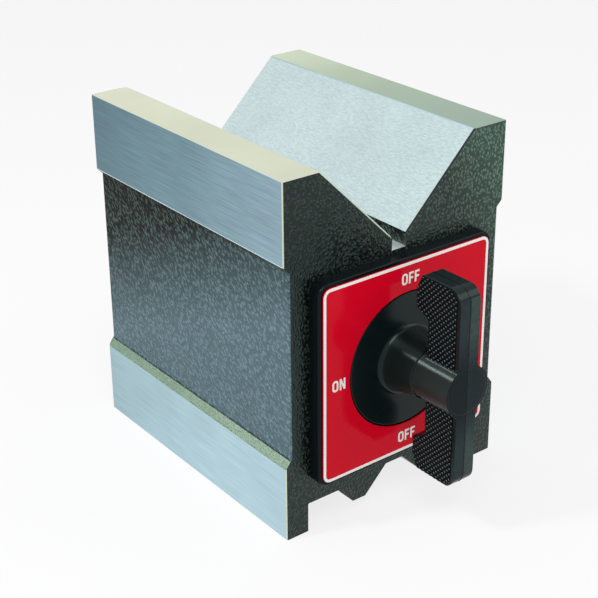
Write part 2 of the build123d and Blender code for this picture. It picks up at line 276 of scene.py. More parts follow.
def arc(cx, cy, radius, start, end, steps):
    """Points along an arc, from one angle to another, in degrees."""
    points = []
    for i in range(steps + 1):
        angle = math.radians(start + (end - start) * i / steps)
        points.append((cx + radius * math.cos(angle), cy + radius * math.sin(angle)))
    return points


def softened(outline, radii, steps=6):
    """An outline with rounded corners: one radius for all, or one for each corner."""
    count = len(outline)
    if not isinstance(radii, list):
        radii = [radii] * count
    points = []
    for i, radius in enumerate(radii):
        corner = Vector(outline[i])
        before = (Vector(outline[i - 1]) - corner).normalized()
        after = (Vector(outline[(i + 1) % count]) - corner).normalized()
        half = before.angle(after) / 2
        reach = radius / math.tan(half)
        centre = corner + (before + after).normalized() * (radius / math.sin(half))
        first = corner + before * reach - centre
        last = corner + after * reach - centre
        turn = first.angle_signed(last)
        for k in range(steps + 1):
            spun = Matrix.Rotation(-turn * k / steps, 2) @ first
            points.append(tuple(centre + spun))
    return points


def mirrored_down(upper):
    """An outline from its upper half, mirrored about the axis."""
    return upper + [(ahead, -z) for ahead, z in reversed(upper)]


# Shader nodes

WHITE = (1, 1, 1, 1)


def add(tree, kind, **settings):
    node = tree.nodes.new(kind)
    for key, value in settings.items():
        setattr(node, key, value)
    return node


def feed(tree, socket, value):
    """Links a node's output to a socket, or sets the socket to a plain value."""
    if isinstance(value, bpy.types.NodeSocket):
        tree.links.new(value, socket)
    else:
        socket.default_value = value


def math_node(tree, operation, first, second, clamp=False):
    node = add(tree, "ShaderNodeMath", operation=operation, use_clamp=clamp)
    feed(tree, node.inputs[0], first)
    feed(tree, node.inputs[1], second)
    return node.outputs[0]


def vector_node(tree, operation, first, second):
    """Vector maths: the second value of SCALE is a number, and the result of DOT_PRODUCT is one."""
    node = add(tree, "ShaderNodeVectorMath", operation=operation)
    feed(tree, node.inputs[0], first)
    feed(tree, node.inputs["Scale" if operation == "SCALE" else 1], second)
    return node.outputs["Value" if operation == "DOT_PRODUCT" else "Vector"]


def noise(tree, where, scale, detail):
    node = add(tree, "ShaderNodeTexNoise")
    node.inputs["Scale"].default_value = scale
    node.inputs["Detail"].default_value = detail
    tree.links.new(where, node.inputs["Vector"])
    return node


def spread(tree, factor, low, high):
    """Maps 0..1 to low..high."""
    node = add(tree, "ShaderNodeMapRange")
    node.inputs["To Min"].default_value = low
    node.inputs["To Max"].default_value = high
    tree.links.new(factor, node.inputs["Value"])
    return node.outputs["Result"]


def steeper(tree, factor, low, high):
    """Maps low..high to 0..1 and holds it there, for a pattern with more contrast."""
    node = add(tree, "ShaderNodeMapRange")
    node.inputs["From Min"].default_value = low
    node.inputs["From Max"].default_value = high
    tree.links.new(factor, node.inputs["Value"])
    return node.outputs["Result"]


def ramp(tree, factor, stops):
    """A colour that changes with a 0 to 1 factor, through stops of a place and a colour."""
    node = add(tree, "ShaderNodeValToRGB")
    elements = node.color_ramp.elements
    elements[0].position, elements[0].color = stops[0]
    elements[1].position, elements[1].color = stops[-1]
    for place, colour in stops[1:-1]:
        elements.new(place).color = colour
    tree.links.new(factor, node.inputs["Fac"])
    return node.outputs["Color"]


def blend(tree, factor, first, second):
    """The first colour where the factor is 0, and the second where it is 1."""
    node = add(tree, "ShaderNodeMix", data_type="RGBA")
    tree.links.new(factor, node.inputs["Factor"])
    tree.links.new(first, node.inputs["A"])
    tree.links.new(second, node.inputs["B"])
    return node.outputs["Result"]


def multiply(tree, colour, factor, low, high):
    """A colour made darker or lighter by a 0 to 1 pattern."""
    return vector_node(tree, "SCALE", colour, spread(tree, factor, low, high))


def drift(tree, where, start, end):
    """0 at one point of the object and 1 at another, in millimetres, for painted shade and reflections that
    change slowly across a face, and for soft masks.
    """
    along = (Vector(end) - Vector(start)) * MM
    slope = along / along.length_squared
    shift = -slope.dot(Vector(start) * MM)
    return math_node(tree, "ADD", vector_node(tree, "DOT_PRODUCT", where, slope), shift, clamp=True)


def bump(tree, shader, height, distance):
    """Relief from a 0 to 1 pattern, of a height in millimetres."""
    node = add(tree, "ShaderNodeBump")
    node.inputs["Strength"].default_value = 1.0
    node.inputs["Distance"].default_value = distance * MM
    tree.links.new(height, node.inputs["Height"])
    tree.links.new(node.outputs["Normal"], shader.inputs["Normal"])


# Patterns that several finishes share

def new_group(name, inputs, outputs):
    group = bpy.data.node_groups.new(name, "ShaderNodeTree")
    for label, kind, value in inputs:
        socket = group.interface.new_socket(name=label, in_out="INPUT", socket_type=kind)
        if value is not None:
            socket.default_value = value
    for label in outputs:
        group.interface.new_socket(name=label, in_out="OUTPUT", socket_type="NodeSocketFloat")
    return group, group.nodes.new("NodeGroupInput"), group.nodes.new("NodeGroupOutput")


def place_group(tree, group, where, **values):
    node = add(tree, "ShaderNodeGroup", node_tree=group)
    tree.links.new(where, node.inputs["Vector"])
    for key, value in values.items():
        node.inputs[key].default_value = value
    return node


def grinding_grain():
    """Fine straight lines along Y with broad cloudy variation, for ground and turned metal."""
    group, start, end = new_group(
        "grinding grain",
        [("Vector", "NodeSocketVector", None), ("Fineness", "NodeSocketFloat", 3400.0),
         ("Length", "NodeSocketFloat", 220.0)],
        ["Lines", "Clouds"])
    links = group.links
    where = start.outputs["Vector"]
    stretch = add(group, "ShaderNodeCombineXYZ")
    links.new(start.outputs["Fineness"], stretch.inputs["X"])
    links.new(start.outputs["Length"], stretch.inputs["Y"])
    links.new(start.outputs["Fineness"], stretch.inputs["Z"])
    scaled = vector_node(group, "MULTIPLY", where, stretch.outputs[0])
    lines = noise(group, scaled, 1.0, 3.0)
    clouds = noise(group, where, 55.0, 4.0)
    links.new(lines.outputs["Fac"], end.inputs["Lines"])
    links.new(clouds.outputs["Fac"], end.inputs["Clouds"])
    return group


def hammered_relief():
    """The relief of hammertone paint: islands, drawn out a little down the face, with dimples between."""
    group, start, end = new_group(
        "hammered relief",
        [("Vector", "NodeSocketVector", None), ("Size", "NodeSocketFloat", 1450.0)],
        ["Height", "Speckle"])
    links = group.links
    where = start.outputs["Vector"]
    mapping = add(group, "ShaderNodeMapping", vector_type="TEXTURE")
    mapping.inputs["Rotation"].default_value = (math.radians(-45), 0, 0)
    mapping.inputs["Scale"].default_value = (1.0, 1.0, 1.9)
    links.new(where, mapping.inputs["Vector"])
    drawn = mapping.outputs[0]
    warp = noise(group, drawn, 700.0, 1.0)
    push = vector_node(group, "SCALE", warp.outputs["Color"], 0.9 * MM)
    cells = add(group, "ShaderNodeTexVoronoi", feature="SMOOTH_F1")
    cells.inputs["Smoothness"].default_value = 0.5
    links.new(start.outputs["Size"], cells.inputs["Scale"])
    links.new(vector_node(group, "ADD", drawn, push), cells.inputs["Vector"])
    fine = noise(group, where, 2600.0, 2.0).outputs["Fac"]
    islands = math_node(group, "MULTIPLY", steeper(group, cells.outputs["Distance"], 0.62, 0.12), 0.75)
    height = math_node(group, "ADD", islands, math_node(group, "MULTIPLY", fine, 0.25))
    links.new(height, end.inputs["Height"])
    links.new(fine, end.inputs["Speckle"])
    return group


GRAIN = grinding_grain()
HAMMERED = hammered_relief()


# Finishes

def tone(red, green, blue):
    """A colour written as it looks on screen, 0 to 255, as the linear colour of a material."""
    linear = []
    for value in (red, green, blue):
        value = value / 255
        linear.append(value / 12.92 if value <= 0.04045 else ((value + 0.055) / 1.055) ** 2.4)
    return (*linear, 1)


def scaled_colour(colour, factor):
    return (*(min(1, part * factor) for part in colour[:3]), 1)


def new_material(name, **values):
    """A Principled material with its plain values on its own sockets, and the object's coordinates."""
    material = bpy.data.materials.new(name)
    material.use_nodes = True
    tree = material.node_tree
    shader = tree.nodes["Principled BSDF"]
    for key, value in values.items():
        shader.inputs[key.replace("_", " ")].default_value = value
    return material, tree, shader, add(tree, "ShaderNodeTexCoord").outputs["Object"]


def ground_steel(name, start, end, stops, rough=(0.26, 0.40), grain_share=0.15, length=70.0, relief=0.006):
    """Bare ground steel with painted reflections and shade: its tone drifts between the stops, from one
    point to the other, standing in for the light each face catches.
    """
    material, tree, shader, where = new_material(name, Metallic=1.0)
    grain = place_group(tree, GRAIN, where, Length=length)
    lines = grain.outputs["Lines"]
    colour = ramp(tree, drift(tree, where, start, end), stops)
    colour = multiply(tree, colour, lines, 1 - grain_share * 2, 1 + grain_share * 2)
    colour = multiply(tree, colour, grain.outputs["Clouds"], 0.88, 1.12)
    tree.links.new(colour, shader.inputs["Base Color"])
    tree.links.new(spread(tree, lines, *rough), shader.inputs["Roughness"])
    bump(tree, shader, lines, relief)
    return material


def darker_rim(tree, colour, where, ragged, height, depth):
    """A ragged dark line where the paint stops, painted in as the shadow at the coat's edge: at this
    height, and this deep, in millimetres.
    """
    shift = add(tree, "ShaderNodeCombineXYZ")
    tree.links.new(spread(tree, ragged, -0.3 * MM, 0.3 * MM), shift.inputs["Z"])
    moved = vector_node(tree, "ADD", where, shift.outputs[0])
    near = drift(tree, moved, (0, 0, height), (0, 0, height + depth))
    return multiply(tree, colour, near, 0.08, 1.0)


def hammer_paint(name, start, end, dips, islands, rim, gloss, relief=0.2, tint=WHITE):
    """Hammertone paint with painted light: painted shade darkens its dips and painted highlights lighten
    its islands, and both drift along the face as painted shade and reflection.
    """
    material, tree, shader, where = new_material(name, Specular_IOR_Level=gloss, Specular_Tint=tint)
    pattern = place_group(tree, HAMMERED, where)
    height, speckle = pattern.outputs["Height"], pattern.outputs["Speckle"]
    along = drift(tree, where, start, end)
    colour = blend(tree, steeper(tree, height, 0.25, 0.75),
                   ramp(tree, along, dips), ramp(tree, along, islands))
    colour = multiply(tree, colour, speckle, 0.75, 1.25)
    tree.links.new(darker_rim(tree, colour, where, height, *rim), shader.inputs["Base Color"])
    tree.links.new(spread(tree, speckle, 0.18, 0.36), shader.inputs["Roughness"])
    bump(tree, shader, height, relief)
    return material


def moulded(name, colour, rough, relief=0.01, gloss=0.5, tint=WHITE):
    """A plain moulded or printed colour with a faint fine grain."""
    material, tree, shader, where = new_material(name, Specular_IOR_Level=gloss, Specular_Tint=tint)
    grain = noise(tree, where, 4200.0, 3.0).outputs["Fac"]
    stops = [(0.3, scaled_colour(colour, 0.85)), (0.7, scaled_colour(colour, 1.15))]
    tree.links.new(ramp(tree, grain, stops), shader.inputs["Base Color"])
    tree.links.new(spread(tree, grain, *rough), shader.inputs["Roughness"])
    bump(tree, shader, grain, relief)
    return material


def turned_moulding(name, colour, rough, gloss, tint):
    """Moulded plastic with the fine rings of a turned mould, which draw a highlight out along the axis."""
    material = moulded(name, colour, rough, gloss=gloss, tint=tint)
    tree = material.node_tree
    shader = tree.nodes["Principled BSDF"]
    shader.inputs["Anisotropic"].default_value = 1.0
    shader.inputs["Anisotropic Rotation"].default_value = 0.25
    around = add(tree, "ShaderNodeTangent", direction_type="RADIAL", axis="Y")
    tree.links.new(around.outputs[0], shader.inputs["Tangent"])
    return material


def front_with_painted_shade(name, middle_tones, end_tones, rough):
    """Moulded plastic with a mottled tone and painted shade: darker at the bar's middle, and painted darker
    left of its mould line as shade on that half of the front.
    """
    material, tree, shader, where = new_material(name, Specular_IOR_Level=0.06)
    rubbed = noise(tree, where, 900.0, 4.0).outputs["Fac"]
    line_half, middle_reach, end_reach = 0.2, 6, 15
    across = drift(tree, where, (-line_half, 0, 0), (line_half, 0, 0))
    above = drift(tree, where, (0, 0, AXIS + middle_reach), (0, 0, AXIS + end_reach))
    below = drift(tree, where, (0, 0, AXIS - middle_reach), (0, 0, AXIS - end_reach))
    colour = blend(tree, math_node(tree, "ADD", above, below, clamp=True),
                   ramp(tree, across, list(enumerate(middle_tones))),
                   ramp(tree, across, list(enumerate(end_tones))))
    tree.links.new(multiply(tree, colour, rubbed, 0.6, 1.4), shader.inputs["Base Color"])
    tree.links.new(spread(tree, rubbed, *rough), shader.inputs["Roughness"])
    bump(tree, shader, rubbed, 0.01)
    return material


def plain_metal(name, colour, rough):
    """The metal of the pieces inside, and of the spacers."""
    material, tree, shader, where = new_material(name, Metallic=1.0)
    grain = place_group(tree, GRAIN, where, Fineness=5000.0, Length=5000.0)
    stops = [(0.3, scaled_colour(colour, 0.85)), (0.7, scaled_colour(colour, 1.1))]
    tree.links.new(ramp(tree, grain.outputs["Clouds"], stops), shader.inputs["Base Color"])
    tree.links.new(spread(tree, grain.outputs["Lines"], *rough), shader.inputs["Roughness"])
    return material


# The bare faces are all one ground steel. Each face gets its own tone that drifts along it, and these tones
# are painted reflections and shade: lit and shaded copies of one steel. The upper band is painted darker at
# the top towards the back, and lighter low towards the front.
BAND_UPPER = ground_steel(
    "ground steel upper band", (0, REAR, HEIGHT), (0, FACE, 66),
    [(0, tone(92, 124, 136)), (0.5, tone(118, 149, 160)), (1, tone(150, 177, 190))], grain_share=0.24)
BAND_LOWER = ground_steel(
    "ground steel lower band", (0, REAR, 10), (0, 0, 10),
    [(0, tone(160, 190, 200)), (1, tone(180, 209, 219))])
FLANK = ground_steel(
    "ground steel vee", (0, REAR, 84), (0, FACE, 84),
    [(0, tone(198, 215, 217)), (1, tone(192, 210, 211))], rough=(0.2, 0.3), grain_share=0.12, length=700.0)
# Painted reflections: the left land is painted warm and light, and the right land darker and greener
# towards the front.
LAND_LEFT = ground_steel(
    "ground steel left land", (-30, REAR, HEIGHT), (-30, FACE, HEIGHT),
    [(0, tone(214, 218, 192)), (1, tone(208, 214, 190))], grain_share=0.02)
LAND_RIGHT = ground_steel(
    "ground steel right land", (30, REAR, HEIGHT), (30, FACE, HEIGHT),
    [(0, tone(200, 212, 184)), (0.5, tone(156, 178, 154)), (1, tone(142, 165, 150))], grain_share=0.03)
BASE = ground_steel(
    "ground steel base", (0, REAR, 0), (0, FACE, 0),
    [(0, tone(170, 195, 203)), (1, tone(176, 204, 212))])
EDGE = ground_steel(
    "ground steel edge", (0, REAR, 0), (0, FACE, 0),
    [(0, tone(206, 213, 192)), (1, tone(214, 222, 202))], rough=(0.3, 0.45))
# A painted highlight: the broken lower edge of the upper band is painted pale, as if it caught the light.
BAND_EDGE_HIGHLIGHT = ground_steel(
    "ground steel band edge painted highlight", (0, REAR, 74), (0, FACE, 74),
    [(0, tone(222, 236, 240)), (1, tone(236, 246, 248))], rough=(0.5, 0.6))
ROUGH = ground_steel(
    "rough cast strip", (0, REAR, 20), (0, FACE, 20),
    [(0, tone(122, 142, 126)), (1, tone(130, 150, 133))],
    rough=(0.5, 0.75), grain_share=0.6, length=3000.0, relief=0.09)

# Painted shade: the side is painted near black at the top under the upper band and lighter low towards the
# front, and its rim is a painted shadow line along the paint's lower edge.
SIDE_PAINT = hammer_paint(
    "hammertone side", (0, 60, 76), (0, 42, 31),
    dips=[(0, tone(0, 3, 1)), (0.45, tone(8, 14, 12)), (1, tone(76, 96, 102))],
    islands=[(0, tone(37, 51, 44)), (0.45, tone(65, 84, 79)), (1, tone(104, 127, 137))],
    rim=(22.2, 0.8), gloss=0.05)
# Painted shade and reflection: the front is painted dark at the lower left and round the cover, and lighter
# towards the upper right, with a dark line along its top edge.
FRONT_PAINT = hammer_paint(
    "hammertone front", (-5, 0, 66), (30, 0, 88),
    dips=[(0, tone(2, 4, 4)), (0.6, tone(4, 8, 6)), (1, tone(38, 60, 49))],
    islands=[(0, tone(32, 44, 41)), (0.6, tone(60, 78, 68)), (1, tone(90, 120, 104))],
    rim=(95.1, -0.7), gloss=0.42, relief=0.14, tint=(0.7, 1.0, 0.92, 1))
PAINT_EDGE = moulded("paint edge", tone(10, 14, 14), (0.3, 0.4), gloss=0.2)

COVER_BLACK = moulded("cover black", tone(10, 16, 18), (0.18, 0.28), gloss=0.1)
LABEL_RED = moulded("label red", tone(203, 6, 34), (0.08, 0.14), relief=0.0, gloss=0.07)
LABEL_WHITE = moulded("label white", tone(232, 234, 230), (0.2, 0.3), relief=0.001, gloss=0.3)

KNOB_BLACK = moulded("knob black", tone(11, 20, 21), (0.18, 0.26), gloss=0.2, tint=(0.78, 1.0, 0.95, 1))
# The bar's front: darker at its middle, with painted shade on its left half.
KNOB_FRONT = front_with_painted_shade(
    "knob front black", middle_tones=(tone(20, 28, 31), tone(28, 38, 42)),
    end_tones=(tone(38, 49, 52), tone(54, 69, 67)), rough=(0.3, 0.4))
TURNED_TINT = (0.74, 1.0, 0.94, 1)
KNOB_HUB = turned_moulding("knob hub black", tone(8, 15, 14), (0.28, 0.34), 0.16, TURNED_TINT)
KNOB_BOSS = turned_moulding("knob boss black", tone(8, 15, 14), (0.28, 0.34), 0.5, TURNED_TINT)
GRIP_BLACK = moulded("grip black", tone(5, 9, 10), (0.3, 0.4), gloss=0.06)
# A painted highlight: the tips of the grip pyramids are painted light grey, as if they caught the light.
GRIP_TIP_HIGHLIGHT = moulded("grip tips painted highlight", tone(82, 96, 98), (0.3, 0.45), gloss=0.3)

SPACER = plain_metal("spacer steel", (0.86, 0.95, 0.93), (0.45, 0.6))
TURNED = plain_metal("turned steel", (0.5, 0.5, 0.5), (0.25, 0.4))
BLACKENED = plain_metal("blackened steel", (0.09, 0.09, 0.095), (0.35, 0.5))
BRASS = plain_metal("brass", (0.72, 0.52, 0.24), (0.25, 0.4))
MAGNET = plain_metal("sintered magnet", (0.15, 0.15, 0.16), (0.5, 0.65))
RUBBER = moulded("rubber", (0.03, 0.03, 0.03), (0.6, 0.75))


# The block: bare ground steel, and the coat of paint on its cast faces, on both halves and the spacers

# Steel edges that are bevelled to catch the light: place across, height, and width of the bevel
GROUND_EDGES = [(V_HALF, HEIGHT, 0.2), (HALF_WIDTH, HEIGHT, 0.12), (HALF_WIDTH, LOWER_BAND, 0.15),
                (HALF_WIDTH, 0, 0.3), (FOOT_INSIDE, 0, 0.3)]

# The front and rear ends of the bare steel, ahead of the front face
STEEL_ENDS = (-PAINT, FACE - REAR + PAINT)

# Rounding of the upright corners where the bare steel of the recess ends
RECESS_CORNER = 1.3


def steel_envelope(side):
    """The space of the bare steel, which ends a coat's thickness short of every painted face."""
    wall, outside, above = RECESS_WALL - PAINT, HALF_WIDTH + CLEAR, HEIGHT + 5 * CLEAR
    slot_wall, slot_top = SLOT_HALF + PAINT, SLOT_TOP + 0.02
    centre_wall, centre_floor = CENTRE_HALF - PAINT, CENTRE_GAP + PAINT
    foot_wall, strip_top = FOOT_INSIDE + PAINT, RECESS_FOOT - 0.07
    outline = [
        (-CLEAR, above), (-CLEAR, slot_top), (slot_wall, slot_top),
        (slot_wall, SLOT_FLOOR - PAINT), (-CLEAR, SLOT_FLOOR - PAINT),
        (-CLEAR, BASE_V_TOP + SLANTED_PAINT), (BASE_V_HALF, BASE_V_TOP + SLANTED_PAINT),
        (BASE_V_HALF + BASE_V_DEPTH + SLANTED_PAINT - PAINT, centre_floor), (centre_wall, centre_floor),
        (centre_wall, CHANNEL + PAINT), (foot_wall, CHANNEL + PAINT), (foot_wall, -CLEAR),
        (outside, -CLEAR), (outside, strip_top), (wall, strip_top),
        (wall, RECESS_TOP + SLANTED_PAINT - PAINT), (outside, BAND_FOOT + SLANTED_PAINT + CLEAR),
        (outside, above)]
    envelope = front_slab("envelope", [(side * x, z) for x, z in outline], *STEEL_ENDS)
    bevel_edges(envelope, lambda e: abs(abs(middle(e).x) - wall) < 0.01 and 40 < middle(e).z < 60
                and run(e) < 0.001, RECESS_CORNER, 4)
    return envelope


def steel_rules(side):
    """The finish of each bare face of a half, each face with its own painted reflection and shade."""
    return [
        # the top land and its bevels
        (lambda n, c: n.z > SQUARE and c.z > HEIGHT - 1, LAND_LEFT if side < 0 else LAND_RIGHT),
        (lambda n, c: n.z > 0.8 and c.z > HEIGHT - 5, BAND_LOWER),
        # the two bands, and the V between the halves
        (lambda n, c: abs(n.x) > SQUARE and c.z > V_APEX - 1, BAND_UPPER),
        (lambda n, c: abs(n.x) > SQUARE and abs(c.x) > HALF_WIDTH - 1, BAND_LOWER),
        (lambda n, c: abs(n.x) < 0.72 and n.z > 0.69 and c.z > V_APEX - 1, FLANK),
        # the rounded ends of the recess, and the broken lower edge of the upper band, painted pale as a
        # painted highlight
        (lambda n, c: abs(n.z) < 0.1 and 0.03 < abs(n.x) < 0.999 and RECESS_FOOT < c.z < RECESS_TOP + 0.1,
         SIDE_PAINT),
        (lambda n, c: -0.95 < n.z < -0.1 and abs(n.y) < 0.1 and abs(c.z - BAND_FOOT) < 2
         and abs(c.x) > RECESS_WALL - 0.5, BAND_EDGE_HIGHLIGHT),
        # the chamfers at the front and rear, and the other edges there
        (lambda n, c: abs(n.y) > 0.6 and n.z > 0.4, EDGE if side < 0 else PAINT_EDGE),
        (lambda n, c: abs(n.y) > 0.3, EDGE),
        # the unground slope above the lower band, and the rest of the upper band
        (lambda n, c: n.z > 0.3 and LOWER_BAND - 0.4 < c.z < RECESS_FOOT + 0.6, ROUGH),
        (lambda n, c: c.z > V_APEX, BAND_UPPER)]


# The finish of each painted face that differs from the front's: the faces at the foot of the upper band get
# the painted highlight of its broken edge
COAT_RULES = [
    (lambda n, c: -0.72 < n.z < -0.02 and abs(n.x) > 0.5 and abs(c.z - BAND_FOOT) < 1.2
     and abs(c.x) > HALF_WIDTH - 0.7, BAND_EDGE_HIGHLIGHT),
    (lambda n, c: abs(n.x) > 0.5 and abs(c.x) > RECESS_WALL - 1
     and LOWER_BAND - 0.4 < c.z < BAND_FOOT - 0.2, SIDE_PAINT)]


def half_block(side, half):
    """One half: its bare steel, and its coat."""
    node = half + "_pole"
    steel = merged_copy(node, half + "_half_steel")
    coat = merged_copy(node, half + "_half_paint")
    envelope = steel_envelope(side)
    boolean(steel, envelope, "INTERSECT", keep=True)
    boolean(coat, envelope)
    for across, height, width in GROUND_EDGES:
        bevel_edges(steel, lambda e: abs(abs(middle(e).x) - across) < 0.02
                    and abs(middle(e).z - height) < 0.02 and run(e) > 10, width, 2)
    for piece in (steel, coat):
        outward(piece)
        smooth(piece, 20)
    paint_faces(steel, steel_rules(side), BASE)
    paint_faces(coat, COAT_RULES, FRONT_PAINT)
    finished(steel, "block", "ground_steel", BASE, node)
    finished(coat, "block", "hammer_paint", BASE, node)


def spacer(node):
    """One spacer: its bright strip, and the coat on its two ends."""
    outline = [(-10, -CLEAR), (10, -CLEAR), (10, HEIGHT + 5 * CLEAR), (-10, HEIGHT + 5 * CLEAR)]
    inside = front_slab("inside", outline, *STEEL_ENDS)
    strip = merged_copy(node, node + "_steel")
    ends = merged_copy(node, node + "_paint")
    boolean(strip, inside, "INTERSECT", keep=True)
    boolean(ends, inside)
    finished(strip, "block", "spacer_steel", SPACER, node)
    finished(ends, "block", "hammer_paint", FRONT_PAINT, node)


half_block(-1, "left")
half_block(1, "right")
spacer("upper_spacer")
spacer("lower_spacer")


# Cover: a rounded square with a round recess, bevelled round its front

COVER_X, COVER_Z, COVER_FRONT = 27.7, 27.4, 3.6
COVER_CORNER, COVER_BEVEL = 3.0, 0.45
RECESS_RADIUS, RECESS_FLOOR = 18.5, 1.4
SPINDLE_HOLE = 6.1
LABEL_X, LABEL_Z, LABEL_FRONT, LABEL_CORNER = 26.6, 26.3, 4.0, 2.2


def rounded_square(half_x, half_z, radius):
    return softened([(half_x, AXIS + half_z), (half_x, AXIS - half_z),
                     (-half_x, AXIS - half_z), (-half_x, AXIS + half_z)], radius)


def disc(name, radius, start, end, steps=96):
    return turned(name, [(0, start), (radius, start), (radius, end), (0, end)], steps)


def on_cover_front(edge):
    return all(abs(v.co.y - at(0, COVER_FRONT, 0).y) < 0.001 * MM for v in edge.verts)


cover = front_slab("cover", rounded_square(COVER_X, COVER_Z, COVER_CORNER), 0, COVER_FRONT)
bevel_edges(cover, on_cover_front, COVER_BEVEL, 3)
boolean(cover, disc("recess", RECESS_RADIUS, RECESS_FLOOR, LABEL_FRONT + CLEAR))
boolean(cover, disc("hole", SPINDLE_HOLE, -CLEAR, RECESS_FLOOR + CLEAR, 48))
smooth(cover, 30)
finished(cover, "block", "cover_plastic", COVER_BLACK, "front_cover")


# Label: the red plate, with the white line round it and the words printed on it

INK, INK_SUNK = 0.03, 0.01

# The white line, by how far its two sides lie inside the label's edge
BORDER_OUTSIDE, BORDER_INSIDE = 0.04, 0.82

label = front_slab("label", rounded_square(LABEL_X, LABEL_Z, LABEL_CORNER), COVER_FRONT, LABEL_FRONT)
boolean(label, disc("opening", RECESS_RADIUS, LABEL_FRONT - CLEAR, LABEL_FRONT + CLEAR))
smooth(label, 30)
finished(label, "block", "label_red", LABEL_RED, "label_plate")


def printed(name, outline, cut=None):
    """A printed shape: a thin film of ink on the label, with a hole in it where one is given."""
    ink = front_slab(name, outline, LABEL_FRONT - INK_SUNK, LABEL_FRONT + INK)
    if cut:
        boolean(ink, front_slab("cut", cut, LABEL_FRONT - CLEAR, LABEL_FRONT + CLEAR))
    return ink


line = printed("label_border",
               rounded_square(LABEL_X - BORDER_OUTSIDE, LABEL_Z - BORDER_OUTSIDE, LABEL_CORNER - 0.05),
               rounded_square(LABEL_X - BORDER_INSIDE, LABEL_Z - BORDER_INSIDE, LABEL_CORNER - 0.9))
finished(line, "block", "label_white", LABEL_WHITE)

# Letters: width of the strokes, height, space between letters, and width of each letter
STROKE, TALL, GAP = 0.52, 3.0, 0.38
WIDE = {"O": 1.85, "F": 1.5, "N": 1.75}

# Places of the words: how far they stand from the axis
OFF_REACH, OFF_ACROSS, ON_REACH = 20.5, 0.4, 21.9


def rectangle(left, foot, right, top):
    return [(left, foot), (right, foot), (right, top), (left, top)]


def letter(kind, x, z):
    """One condensed capital, its lower left corner at x, z."""
    s, w = STROKE, WIDE[kind]
    if kind == "O":
        return printed("letter", softened(rectangle(x, z, x + w, z + TALL), 0.85),
                       softened(rectangle(x + s, z + s, x + w - s, z + TALL - s), 0.38))
    if kind == "F":
        arm, arm_end = 1.2, w - 0.15
        shape = [(0, 0), (s, 0), (s, arm), (arm_end, arm), (arm_end, arm + s), (s, arm + s),
                 (s, TALL - s), (w, TALL - s), (w, TALL), (0, TALL)]
    else:
        slant = 1.25
        shape = [(0, 0), (s, 0), (s, TALL - slant), (w - s, 0), (w, 0), (w, TALL), (w - s, TALL),
                 (w - s, slant), (s, TALL), (0, TALL)]
    return printed("letter", [(x + a, z + b) for a, b in shape])


def word(name, letters, x, z):
    """A word printed with its middle at x and its foot at z."""
    left = x - (sum(WIDE[kind] for kind in letters) + GAP * (len(letters) - 1)) / 2
    pieces = []
    for kind in letters:
        pieces.append(letter(kind, left, z))
        left += WIDE[kind] + GAP
    join(*pieces)
    finished(named(name), "block", "label_white", LABEL_WHITE)


word("word_off_above", "OFF", OFF_ACROSS, AXIS + OFF_REACH)
word("word_off_below", "OFF", OFF_ACROSS, AXIS - OFF_REACH - TALL)
word("word_on_left", "ON", -ON_REACH, AXIS - TALL / 2)
word("word_on_right", "ON", ON_REACH, AXIS - TALL / 2)


# Knob: skirt, waisted hub and boss turned in one, the grip bar, its mould line and its grip pads

# Radii and half sizes are measured from the axis, fronts and backs ahead of the block
SKIRT_RADIUS, SKIRT_BACK, SKIRT_FRONT = 18.1, 1.7, 3.8
HUB_FRONT = 13.0
BOSS_TURNED, BOSS_FRONT, BOSS_ROUND = 6.66, 25.33, 0.9
BOSS_BULGE = 6.7
BAR_HALF, BAR_REACH, BAR_FRONT = 3.2, 26.7, 25.2
BAR_RIM, BAR_CORNER, BAR_HOLLOW = 0.85, 0.5, 1.5
BAR_BACK, WING_BACK, WING_END_BACK = 14.5, 10.3, 12.1
STEP_START, STEP_END, WING_TAPER = 15.8, 17.8, 22.9
STEP_SOFT, CORNER_SOFT = 0.9, 4.0
LINE_HALF, LINE_PROUD = 0.11, 0.07

skirt = [(0, SKIRT_BACK), (SKIRT_RADIUS, SKIRT_BACK), (SKIRT_RADIUS, 3.45), (18.0, 3.7),
         (17.75, SKIRT_FRONT)]
waist = [(9.9, SKIRT_FRONT), (9.3, 3.9), (8.9, 4.2), (8.6, 4.8), (8.3, 5.8), (8.0, 7.2), (7.7, 9.0),
         (7.4, 11.0), (7.2, 12.4), (7.12, 12.85), (6.98, HUB_FRONT)]
boss = [(BOSS_TURNED, HUB_FRONT + 0.1),
        *arc(BOSS_TURNED - BOSS_ROUND, BOSS_FRONT - BOSS_ROUND, BOSS_ROUND, 0, 90, 5), (0, BOSS_FRONT)]
knob = turned("knob_moulding", skirt + waist + boss, 128)


def bar_plan():
    """The bar as seen from the front, with the boss bulging from its middle through hollows."""
    hollow_x = BAR_HALF + BAR_HOLLOW
    hollow_z = math.sqrt((BOSS_BULGE + BAR_HOLLOW) ** 2 - hollow_x ** 2)
    turn = math.degrees(math.atan2(hollow_z, hollow_x))
    corner_x = BAR_HALF - BAR_CORNER
    quarter = [(corner_x, BAR_REACH), *arc(corner_x, BAR_REACH - BAR_CORNER, BAR_CORNER, 90, 0, 4)[1:],
               *arc(hollow_x, hollow_z, BAR_HOLLOW, 180, 180 + turn, 7)]
    bulge = arc(0, 0, BOSS_BULGE, turn, -turn, 28)[1:-1]
    right = quarter + bulge + [(x, -z) for x, z in reversed(quarter)]
    return [(x, AXIS + z) for x, z in right] + [(-x, AXIS - z) for x, z in right]


def bar_side(grow):
    """The bar as seen from the side, with stepped wings, grown by this much."""
    upper = [(BAR_FRONT + grow, BAR_REACH + grow), (WING_END_BACK, BAR_REACH + grow),
             (WING_BACK - grow, WING_TAPER), (WING_BACK - grow, STEP_END), (BAR_BACK - grow, STEP_START)]
    return softened(mirrored_down(upper), [CORNER_SOFT, *[STEP_SOFT] * 8, CORNER_SOFT], 8)


